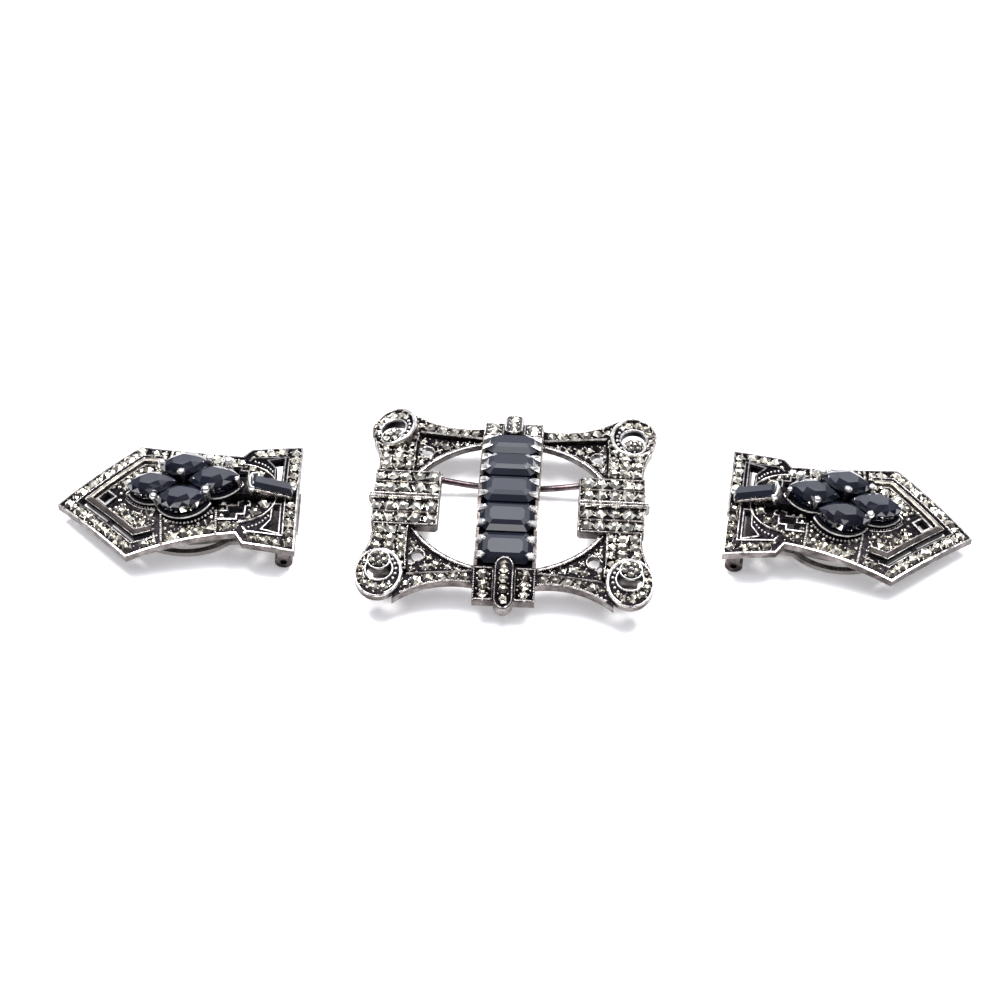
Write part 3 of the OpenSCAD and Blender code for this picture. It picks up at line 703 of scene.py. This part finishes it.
def column():
    for sx in (1, -1):
        for sy in (1, -1):
            f = arch(sx, sy)
            sweep(strips, f, [(3.7, 0.0), (3.7, 11.0)], 0.44, 0.08, step=0.7, profile="flat")
            sweep(rims, f, [(3.9, 0.0), (3.9, 11.0)], 0.1, 0.1, step=0.7)
            # end block
            sweep(rims, f, [(1.4, 11.3), (1.4, 14.74), (3.74, 14.74)], 0.16, 0.18)
            sweep(rims, f, [(1.42, 11.2), (3.7, 11.2)], 0.18, 0.2)
            milled(grains, f, [(3.82, 11.2), (3.82, 14.8)], 0.13, 0.28, 0.06)
            items = [(2.6, 11.95, 0.66), (2.55, 13.15, 0.64), (2.6, 14.2, 0.5)]
            spot(f, items)
            corner_beads(f, items, r=0.14, reach=1.2)
            for x, y in ((1.75, 12.5), (3.4, 12.5), (1.75, 13.65), (3.4, 13.65)):
                grain(grains, f, x, y, 0.15)
            # loop's rims
            g = arch(sx, sy, ARCH_R + 0.85)
            sweep(rims, g, [(1.07, 11.2), (1.07, 15.05)] + [(1.13 * math.cos(t), 15.0 + 1.13 * math.sin(t)) for t in np.radians((15, 40, 65, 88))], 0.18, 0.15)
            milled(grains, g, [(1.1, 11.2), (1.1, 15.05)], 0.1, 0.25, 0.06)
    for sy in (1, -1):
        g = arch(1, sy, ARCH_R + 0.85)
        items = [(0, y, 0.56) for y in (11.8, 12.95, 14.1, 15.25)]
        spot(g, items)
        for y in (12.32, 13.47, 14.62):
            for x in (-0.62, 0.62):
                grain(grains, g, x, y, 0.13)
        # rounded end that laps over the stone
        f = arch(1, sy)
        n = 20
        top = [(1.16 * math.cos(t), 11.15 - 1.1 * math.sin(t)) for t in np.linspace(0, math.pi, n)]
        poly = [(1.16, 11.6)] + top + [(-1.16, 11.6)]
        xs = np.array([q[0] for q in poly])
        ys = np.array([q[1] for q in poly])
        lo, hi = f(xs, ys, 0.45), f(xs, ys, 0.92)
        mx, my = xs * 0.86, 11.3 + (ys - 11.3) * 0.86
        inner = f(mx, my, 1.02)
        k = len(poly)
        verts = np.concatenate([lo, hi, inner])
        faces = [tuple(range(k)), tuple(2 * k + i for i in range(k))]
        for i in range(k):
            j = (i + 1) % k
            faces += [(i, j, k + j, k + i), (k + i, k + j, 2 * k + j, 2 * k + i)]
        oxide_and_shade_pieces.add(verts, faces, 0.5, False)
        sweep(rims, f, [(q[0] * 0.9, 11.15 + (q[1] - 11.15) * 0.9) for q in top], 0.2, 0.16, h=0.98)
        spot(f, [(0, 10.95, 0.54)], 1.0)
    # claws that hold the octagon stones, two to a stone on each side
    for i in range(-2, 3):
        for d in (-1.08, 1.08):
            s = i * 4.4 + d
            y = ARCH_R * math.sin(s / ARCH_R)
            for sx in (1, -1):
                f = arch(sx, 1)
                w, l = 0.55, 1.1
                base = [(0.28, -w, -0.1), (0.28, w, -0.1), (-l * 0.55, w * 0.75, -0.1), (-l, 0, 0.1), (-l * 0.55, -w * 0.75, -0.1)]
                mid = [(0.26, -w * 0.95, 0.3), (0.26, w * 0.95, 0.3), (-l * 0.5, w * 0.7, 0.62), (-l * 0.93, 0, 0.66), (-l * 0.5, -w * 0.7, 0.62)]
                top = [(0.1, -w * 0.5, 0.48), (0.1, w * 0.5, 0.48), (-l * 0.42, w * 0.34, 0.78), (-l * 0.66, 0, 0.78), (-l * 0.42, -w * 0.34, 0.78)]
                v, fc = ring_mesh([base, mid, top])
                put_shape(claws, f, 3.5, y, 0.0, v, fc, 0.0, (0.0, rng.uniform(-0.1, 0.1)), smooth=False)


for sx in (1, -1):
    for sy in (1, -1):
        rail(sx, sy)
        spandrel(sx, sy)
        side_bar(sx, sy)
        scroll(sx, sy, bent_scroll() if (sx, sy) == (-1, 1) else tier(-0.05, sx, sy))
    panel(sx)
column()
stones.build("brooch_marcasites", "brooch", marc, "silver")
rims.build("brooch_rims", "brooch", bright, "silver")
grains.build("brooch_grains", "brooch", bright, "silver")
claws.build("brooch_claws", "brooch", claw_mat, "silver")
strips.build("brooch_column_strips", "brooch", strip_mat, "silver")
# caps and coil domes are oxidised silver; the rings in the scroll holes are painted shade
oxide_and_shade_pieces.build("brooch_strap_caps_oxide_and_painted_shade", "brooch", oxide_and_shade_mat, "darkened_silver")


# ------------------------------------------------------------------ dress clips
EDGE = np.array([CLIP_W, 10]) / math.hypot(CLIP_W, 10)
SIDE = np.array([-(CLIP_W - WAIST), CORNER_X - WAIST_X]) / math.hypot(CLIP_W - WAIST, CORNER_X - WAIST_X)
EDGE_C = EDGE[0] * MID
SIDE_C = SIDE @ np.array([CORNER_X, CLIP_W])


def a_tip(d):
    return ((EDGE_C - d) / EDGE[0], 0.0)


def a_corner(d):
    det = EDGE[0] * SIDE[1] - EDGE[1] * SIDE[0]
    return (((EDGE_C - d) * SIDE[1] - EDGE[1] * (SIDE_C - d)) / det, (EDGE[0] * (SIDE_C - d) - SIDE[0] * (EDGE_C - d)) / det)


def a_back(d, x):
    return (x, (SIDE_C - d - SIDE[0] * x) / SIDE[1])


def flank(t):
    return (CORNER_X + (WAIST_X - CORNER_X) * t, CLIP_W + (WAIST - CLIP_W) * t - FLANK_IN * 4 * t * (1 - t))


def flank_y(x):
    return flank((x - CORNER_X) / (WAIST_X - CORNER_X))[1]


def outline():
    half = [flank(i / 6) for i in range(7)] + [(TEE_X, TEE_W - 0.9), (-MID, TEE_W)]
    return [(MID, 0.0)] + half + mirror_y(half)[::-1]


def lens(l, w, grow=0.0, n=14):
    """Outline of a marquise, counter-clockwise from its right tip."""
    r = (l * l + w * w) / (4 * w)
    a = math.degrees(math.asin(l / 2 / r))
    r2 = r + grow
    a2 = math.degrees(math.acos(min(1, (r - w / 2) / r2)))
    up = [(r2 * math.sin(math.radians(t)), -(r - w / 2) + r2 * math.cos(math.radians(t))) for t in np.linspace(a2, -a2, n)]
    down = [(-x, -y) for x, y in up]
    return up + down[1:-1]


def marquise(soup, f, cx, cy, k):
    """Faceted marquise stone: girdle, two rows of crown facets, table."""
    def row(scale, z, m, shift, wob=0.0):
        pts = lens(MARQ_L, MARQ_W, 0, 60)
        d = np.array(pts + [pts[0]])
        s = np.r_[0, np.cumsum(np.linalg.norm(np.diff(d, axis=0), axis=1))]
        out = []
        for i in range(m):
            t = (i + shift) / m * s[-1]
            x, y = np.interp(t, s, d[:, 0]), np.interp(t, s, d[:, 1])
            out.append((cx + x * scale + rng.uniform(-wob, wob), cy + y * scale + rng.uniform(-wob, wob), z + rng.uniform(-wob, wob) * 0.5))
        return out
    m = 12
    g0 = row(0.95, 0.06, m, 0)
    g1 = row(0.985, 1.2, m, 0)
    g2 = row(1.0, 1.42, m, 0)
    c1 = row(0.80, 1.98, m, 0.5, 0.05)
    c2 = row(0.50, 2.46, m // 2, 0.5, 0.05)
    v = g0 + g1 + g2 + c1 + c2
    o1, o2, o3, o4 = m, 2 * m, 3 * m, 4 * m
    faces = [tuple(range(m - 1, -1, -1)), tuple(o4 + i for i in range(m // 2))]
    for i in range(m):
        j = (i + 1) % m
        faces += [(i, j, o1 + j, o1 + i), (o1 + i, o1 + j, o2 + j, o2 + i)]
        faces += [(o2 + i, o2 + j, o3 + i), (o2 + j, o3 + j, o3 + i)]
    for i in range(m // 2):
        a, b, nxt = o3 + 2 * i, o3 + 2 * i + 1, o3 + (2 * i + 2) % m
        t, tn = o4 + i, o4 + (i + 1) % (m // 2)
        faces += [(a, b, t), (b, tn, t), (b, nxt, tn)]
    arr = np.array(v)
    soup.add(f(arr[:, 0], arr[:, 1], arr[:, 2]), faces, 0.5, False)


def clip(side, where):
    st, rm, gr, cl, shade_walls, pl = Soup(), Soup(), Soup(), Soup(), Soup(), Soup()
    body = side + "_clip"
    f0 = dish(where)

    # plain polished edge of the whole plate
    sweep(rm, f0, inset(outline(), 0.14), 0.24, 0.13, closed=True, profile="flat")
    # rim between the border and the slit, raised bevelled arrow bar
    line = [a_back(1.74, 1.9), a_corner(1.74), a_tip(1.74)]
    sweep(rm, f0, line + mirror_y(line[:-1])[::-1], 0.18, 0.2)
    bar = [a_back(2.975, 2.62), a_corner(2.975), a_tip(2.975)]
    # tone 0.9 on the far arm (y > 0) paints a pale-gold reflection, tone 0.1 on the near arm paints shade
    sweep(pl, f0, bar + mirror_y(bar[:-1])[::-1], 0.58, 0.32, h=0.3, profile="inner", sink=0.3, tone=lambda x, y: 0.9 if y > 0 else 0.1)
    for d, hh in ((2.64, 0.4), (3.3, 0.6)):
        edge = [a_back(d, 2.62), a_corner(d), a_tip(d)]
        sweep(rm, f0, edge + mirror_y(edge[:-1])[::-1], 0.11, 0.09, h=hh)
    inner = [a_back(3.5, 2.7), a_corner(3.5), a_tip(3.5)]
    sweep(rm, f0, inner + mirror_y(inner[:-1])[::-1], 0.14, 0.18)
    # near-black walls along the slit: painted shade inside it
    for d in (1.94, 2.56):
        wall = [a_back(d, 2.25), a_corner(d), a_tip(d)]
        sweep(shade_walls, f0, wall + mirror_y(wall[:-1])[::-1], 0.12, 0.02, h=-0.04, profile="flat", sink=0.98)
    # near-black wall inside the small diamond window: painted shade
    sweep(shade_walls, f0, inset([(10.1, 0), (9.1, 1.0), (8.1, 0), (9.1, -1.0)], 0.04), 0.12, 0.02, h=-0.04, closed=True, profile="flat", sink=0.98)
    # rim of the small diamond window
    sweep(rm, f0, [(10.32, 0), (9.1, 1.22), (7.88, 0), (9.1, -1.22)], 0.26, 0.26, closed=True, profile="flat", step=0.4)

    for sy in (-1, 1):
        f = dish(where, sy)
        items, small = [], []
        # border along the arrow
        c0, c1 = np.array(a_corner(0.98)), np.array(a_tip(0.98))
        n = 6
        for i in range(n + (1 if sy < 0 else 0)):
            q = c0 + (c1 - c0) * (0.015 + i / n * 0.965)
            items.append((q[0], q[1], 0.7))
        for i in range(n):
            q = c0 + (c1 - c0) * (0.015 + (i + 0.5) / n * 0.965)
            e = (c1 - c0) / np.linalg.norm(c1 - c0)
            nn = np.array([-e[1], e[0]])
            small.append((q[0], q[1], 0.42))
            for d in (-0.46, 0.46):
                grain(gr, f, *(q + nn * d + e * 0.1), 0.15)
        # flank behind the corner
        items += [(3.55, flank_y(3.55) - 1.08, 0.66), (2.35, flank_y(2.35) - 0.85, 0.36), (2.3, flank_y(2.3) - 1.7, 0.34)]
        # edge row between the two milled bars
        for x in (-4.6, -3.1, -1.55, 0.0):
            items.append((x, flank_y(x) - 1.08, 0.8))
        small += [(0.05, 5.2, 0.32), (0.85, 4.5, 0.3), (0.95, 5.5, 0.22), (-1.05, 5.45, 0.22), (-2.15, 5.35, 0.22), (-3.25, 4.95, 0.26), (-4.05, 4.6, 0.26), (-4.8, 4.1, 0.3), (-4.9, 3.35, 0.22)]
        small += [(-3.85, flank_y(-3.85) - 0.5, 0.26), (-2.32, flank_y(-2.32) - 0.5, 0.26), (-0.8, flank_y(-0.8) - 0.5, 0.26), (0.75, flank_y(0.75) - 0.5, 0.26)]
        # waist
        items += [(-6.55, 5.35, 0.64), (-7.85, 5.4, 0.52), (-6.3, 1.75, 0.5)]
        small += [(-6.15, 3.85, 0.3), (-6.1, 2.75, 0.26), (-7.3, 1.95, 0.24), (-8.1, 0.95, 0.3), (-7.2, 4.8, 0.26), (-5.0, 4.75, 0.26), (-8.6, 4.6, 0.26)]
        # fan
        items += [(-11.5, 1.75, 0.66), (-10.4, 3.1, 0.68), (-9.5, 4.15, 0.4)]
        # column of the flat end and the flange
        for y in (1.75, 3.2, 4.65, 6.1, 7.55):
            items.append((-14.9, y, 0.62))
        items += [(-13.2, 7.6, 0.64), (-11.7, 7.4, 0.62), (-10.25, 7.15, 0.58)]
        small += [(-12.5, 7.0, 0.3), (-11.0, 6.8, 0.3), (-9.4, 6.3, 0.32)]
        # field inside the arrow
        items += [(4.3, 4.55, 0.66), (5.75, 3.55, 0.66), (7.05, 2.3, 0.6), (2.95, 3.6, 0.5), (4.5, 3.1, 0.46), (2.95, 5.05, 0.42)]
        small += [(2.75, 2.55, 0.3), (7.35, 0.6, 0.26), (2.6, 4.35, 0.26), (2.5, 5.6, 0.26), (8.55, 1.95, 0.34), (9.9, 0.95, 0.28), (7.95, 2.45, 0.26), (6.55, 1.45, 0.28), (5.3, 3.75, 0.24), (6.1, 2.35, 0.3), (5.25, 4.45, 0.3), (3.7, 5.4, 0.28), (6.6, 3.3, 0.26), (3.75, 3.75, 0.3), (5.3, 2.75, 0.3), (7.0, 1.35, 0.32), (7.75, 1.75, 0.28), (3.6, 2.9, 0.28)]
        for x, y, r in items + small:
            marcasite(st, f, x, y, r)
        for x, y, r in items:
            a0 = rng.uniform(0, 1.57)
            for k in range(4):
                a = a0 + k * math.pi / 2
                grain(gr, f, x + 1.16 * r * math.cos(a), y + 1.16 * r * math.sin(a), 0.13, 0.04)

        # transverse milled bars
        for line, w in (([(1.62, 3.6), (1.45, 5.6), (1.25, flank_y(1.25) - 0.3)], 0.3), ([(-5.45, 3.2), (-5.5, 4.6), (-5.6, flank_y(-5.6) - 0.3)], 0.26)):
            sweep(rm, f, line, w, 0.3)
            for x, y in along(line, 0.32):
                bead(gr, f, x, y, 0.21, 0.22, 7, 0.8)
        # beads round the near stone's bezel, and round the stone at the point
        r0 = (MARQ_L ** 2 + MARQ_W ** 2) / (4 * MARQ_W)
        cy = MARQ_OFF - (r0 - MARQ_W / 2)
        ring = [(x, y) for x, y in arc(MARQ_X, cy, r0 + 0.3, 20, 160, 60) if -5.0 < x < 1.2]
        for x, y in along(ring, 0.47):
            bead(cl, f, x, y, 0.18, 0.06, 8)
        ring = [(x, y) for x, y in arc(MARQ_X + 4.0, -(r0 - MARQ_W / 2), r0 + 0.42, 20, 160, 60) if x > 2.2 and y > 0.1]
        for x, y in along(ring, 0.40):
            bead(gr, f, x, y, 0.13, 0.04, 8)
        sweep(rm, f, [(x, y) for x, y in arc(MARQ_X + 4.0, -(r0 - MARQ_W / 2), r0 + 0.68, 20, 160, 60) if x > 2.2 and y > 0.3], 0.16, 0.12)
        # fan: polished arc and dots
        fan = [(-12.95, 0.9), (-12.75, 1.9), (-12.2, 2.9), (-11.3, 3.8), (-10.2, 4.4), (-9.0, 4.75), (-8.1, 4.95)]
        sweep(rm, f, fan, 0.3, 0.28)
        for x, y in along([(-12.15, 3.75), (-11.55, 4.5), (-10.75, 5.1), (-9.75, 5.5)], 0.52):
            bead(cl, f, x, y, 0.17, 0.03, 8)
        # stepped slot: hook-shaped rim outside, stepped rim inside
        sweep(rm, f, [(-9.2, 1.35), (-9.75, 1.75), (-9.7, 2.3), (-9.15, 2.3)], 0.28, 0.26)
        sweep(rm, f, [(-9.15, 2.3), (-9.1, 3.6), (-8.1, 3.65), (-8.1, 4.4), (-5.75, 4.4)], 0.2, 0.22, profile="flat")
        sweep(rm, f, [(-8.9, 1.5), (-8.2, 1.75), (-8.2, 2.32), (-6.82, 2.32), (-6.82, 3.12), (-5.75, 3.12)], 0.2, 0.22, profile="flat")
        # three-cornered window and the long line beside the end column
        sweep(rm, f, inset([(-13.5, 2.0), (-13.5, 6.2), (-11.6, 5.7), (-12.6, 4.4), (-12.7, 2.0)], -0.14), 0.16, 0.2, closed=True, profile="flat")
        sweep(rm, f, [(-14.12, 1.1), (-14.1, 6.6), (-9.5, 6.15), (-8.95, 5.5)], 0.16, 0.18, profile="flat")
        # near-black walls inside the openings: painted shade
        for hole in ([(-13.5, 2.0), (-13.5, 6.2), (-11.6, 5.7), (-12.6, 4.4), (-12.7, 2.0)],
                     [(-5.9, 3.3), (-7.0, 3.3), (-7.0, 2.5), (-8.9, 2.5), (-8.9, 3.4), (-7.9, 3.4), (-7.9, 4.2), (-5.9, 4.2)]):
            sweep(shade_walls, f, inset(hole, 0.04), 0.12, 0.02, h=-0.04, closed=True, profile="flat", sink=0.98)

    # seats: near-black wall under the four stones as painted shade, with a thin bright bezel at their foot
    m = marq_plane(where)
    r0 = (MARQ_L ** 2 + MARQ_W ** 2) / (4 * MARQ_W)
    a = math.degrees(math.asin(MARQ_L / 2 / r0))
    for cx, cyy in ((MARQ_END, 0), (-MARQ_END, 0), (0, -MARQ_OFF), (0, MARQ_OFF)):
        loop = [(cx + x, cyy + y) for x, y in lens(MARQ_L, MARQ_W, 0.0, 16)]
        sweep(shade_walls, m, loop, 0.12, 0.02, closed=True, profile="flat", sink=1.6, step=0.6)
        sweep(cl, m, [(cx + x, cyy + y) for x, y in lens(MARQ_L, MARQ_W, 0.13, 16)], 0.17, 0.13, h=-0.5, closed=True, sink=0.1, step=0.5)

    # near-black square wall round the post: painted shade
    post = tilted(where, (-9.0, 0, 6.9), 0)
    sweep(shade_walls, post, [(-1.24, -1.34), (1.24, -1.34), (1.24, 1.34), (-1.24, 1.34)], 0.1, 0.02, closed=True, profile="flat", sink=1.5)

    # claws of the stones
    m = marq_plane(where)
    pair = {"left": ((-3.3, -2.1, 1.55, 0.6), (3.55, -2.35, 1.5, 0.52), (-3.4, 2.95, 1.75, 0.64), (3.1, 3.3, 1.5, 0.46), (-5.9, 2.35, 1.6, 0.58)),
            "right": ((-3.65, -1.55, 1.65, 0.52), (3.3, -2.0, 1.5, 0.56), (-3.3, 3.1, 1.8, 0.66), (3.3, 2.6, 1.5, 0.46), (-6.1, 1.9, 1.6, 0.54))}[side]
    for u, v, h, r in pair + ((0.1, 0.95, 1.95, 0.52), (7.15, 0.5, 1.4, 0.38), (-7.2, -0.5, 1.3, 0.34)):
        n = 12
        rings = [circle(0.5 * r, -1.9, n), circle(0.62 * r, -0.4, n), circle(0.95 * r, 0.0, n), circle(r, 0.25 * r, n), circle(0.86 * r, 0.66 * r, n),
                 circle(0.5 * r, 0.93 * r, n), [(0, 0, 1.02 * r)]]
        vv, fc = ring_mesh(rings)
        put_shape(cl, m, u, v, h, vv, fc, 0.3, smooth=True)
    b = bag_plane(where)
    rings = [circle(0.4, -0.9, 10), circle(0.5, 0.2, 10), circle(0.52, 0.45, 10), circle(0.4, 0.75, 10), circle(0.2, 0.88, 10), [(0, 0, 0.9)]]
    vv, fc = ring_mesh(rings)
    put_shape(cl, b, -2.62, 0.35, 0.3, vv, fc, 0.0, smooth=True)
    # collar at the baguette's inner end
    sweep(cl, b, [(2.2, -1.2), (2.75, -1.1), (2.95, -0.4), (2.95, 0.5), (2.7, 1.15), (2.0, 1.35)], 0.5, 0.75, sink=0.8)
    sweep(rm, b, [(-2.7, -1.1), (2.3, -1.1)], 0.16, 0.3, sink=0.8)
    sweep(rm, b, [(-2.7, 1.1), (2.3, 1.1)], 0.16, 0.3, sink=0.8)

    st.build(side + "_clip_marcasites", body, marc, "silver")
    rm.build(side + "_clip_rims", body, bright, "silver")
    gr.build(side + "_clip_grains", body, bright, "silver")
    cl.build(side + "_clip_claws", body, claw_mat, "silver")
    # near-black walls of the openings, seats and post: painted shade
    shade_walls.build(side + "_clip_painted_shade_walls", body, oxide_and_shade_mat, "silver")
    pl.build(side + "_clip_arrow_bar_painted_light", body, arrow_bar_reflection_and_shade_mat, "silver")
    m = marq_plane(where)
    for k, (name, cx, cyy) in enumerate((("tip", MARQ_END, 0), ("inner", -MARQ_END, 0), ("near", 0, -MARQ_OFF), ("far", 0, MARQ_OFF))):
        so = Soup()
        marquise(so, m, cx, cyy, k)
        ob = so.build(f"{side}_marquise_{name}_cut", body, onyx, "black_onyx")
        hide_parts(f"{side}_marquise_{name}")


clip("right", RIGHT)
clip("left", LEFT)

# ------------------------------------------------------------------ floor, light and camera
fl = bpy.data.meshes.new("floor")
fl.from_pydata([(-3, -3, -0.00005), (3, -3, -0.00005), (3, 3, -0.00005), (-3, 3, -0.00005)], [], [(0, 1, 2, 3)])
floor = bpy.data.objects.new("floor", fl)
bpy.context.scene.collection.objects.link(floor)
fm, nt, bs = node_material("paper")
tc = coords(nt)
c = ramp(nt, noise(nt, tc, 40, 3).outputs["Fac"], [(0.3, (0.93, 0.918, 0.922)), (0.7, (0.95, 0.938, 0.942))])
nt.links.new(c.outputs[0], bs.inputs["Base Color"])
bs.inputs["Roughness"].default_value = 0.9
bs.inputs["Specular IOR Level"].default_value = 0.1
bs.inputs["Emission Color"].default_value = (1.0, 0.985, 0.99, 1)
bs.inputs["Emission Strength"].default_value = 0.22
fl.materials.append(fm)


def area(name, at, size, power, to=(0, 0, 0.003), color=(1, 1, 1)):
    li = bpy.data.lights.new(name, "AREA")
    li.shape = "RECTANGLE"
    li.size, li.size_y = size
    li.energy = power
    li.color = color
    ob = bpy.data.objects.new(name, li)
    ob.location = at
    ob.rotation_mode = "QUATERNION"
    ob.rotation_quaternion = (Vector(to) - Vector(at)).to_track_quat("-Z", "Y")
    bpy.context.scene.collection.objects.link(ob)
    return ob


area("key_left", (-0.21, 0.19, 0.58), (0.18, 0.24), 2.9)
area("key_right", (0.21, 0.20, 0.58), (0.18, 0.24), 2.7)
area("front_strip", (0.0, -0.42, 0.2), (0.6, 0.07), 0.15)

world = bpy.data.worlds.new("studio")
bpy.context.scene.world = world
world.use_nodes = True
bg = world.node_tree.nodes["Background"]
wn = world.node_tree
wt = wn.nodes.new("ShaderNodeTexCoord")
split = wn.nodes.new("ShaderNodeSeparateXYZ")
wn.links.new(wt.outputs["Generated"], split.inputs[0])
turn = wn.nodes.new("ShaderNodeMath")
turn.operation = "ARCTAN2"
wn.links.new(split.outputs["Z"], turn.inputs[0])
wn.links.new(split.outputs["Y"], turn.inputs[1])
part = remap(wn, turn.outputs[0], 0.0, math.pi, 0.0, 1.0)
glow = ramp(wn, part.outputs[0], [(0.0, (0.22, 0.225, 0.25)), (0.09, (0.30, 0.31, 0.345)), (0.18, (0.37, 0.38, 0.425)), (0.28, (0.66, 0.68, 0.75)),
                                  (0.37, (0.84, 0.86, 0.94)), (0.48, (1.0, 1.02, 1.10)), (0.56, (0.80, 0.82, 0.88)), (0.64, (0.10, 0.10, 0.115)), (1.0, (0.05, 0.05, 0.056))])
side = wn.nodes.new("ShaderNodeMath")
side.operation = "ABSOLUTE"
wn.links.new(split.outputs["X"], side.inputs[0])
wn.links.new(remap(wn, side.outputs[0], 0.35, 0.9, 1.35, 0.3).outputs[0], bg.inputs[1])
wn.links.new(glow.outputs[0], bg.inputs[0])

cam = bpy.data.cameras.new("camera")
cam.sensor_width = 36
cam.sensor_fit = "HORIZONTAL"
cam.lens = 84.54
cam.clip_start, cam.clip_end = 0.01, 20
co = bpy.data.objects.new("camera", cam)
a, e = math.radians(3.2), math.radians(49.7)
back = Vector((math.sin(a) * math.cos(e), -math.cos(a) * math.cos(e), math.sin(e)))
co.location = Vector((-0.00187, 0.0045, 0)) + back * 0.309
co.rotation_mode = "QUATERNION"
co.rotation_quaternion = (-back).to_track_quat("-Z", "Y")
bpy.context.scene.collection.objects.link(co)
bpy.context.scene.camera = co
bpy.context.scene.view_settings.view_transform = "Standard"
bpy.context.scene.view_settings.exposure = 0.45
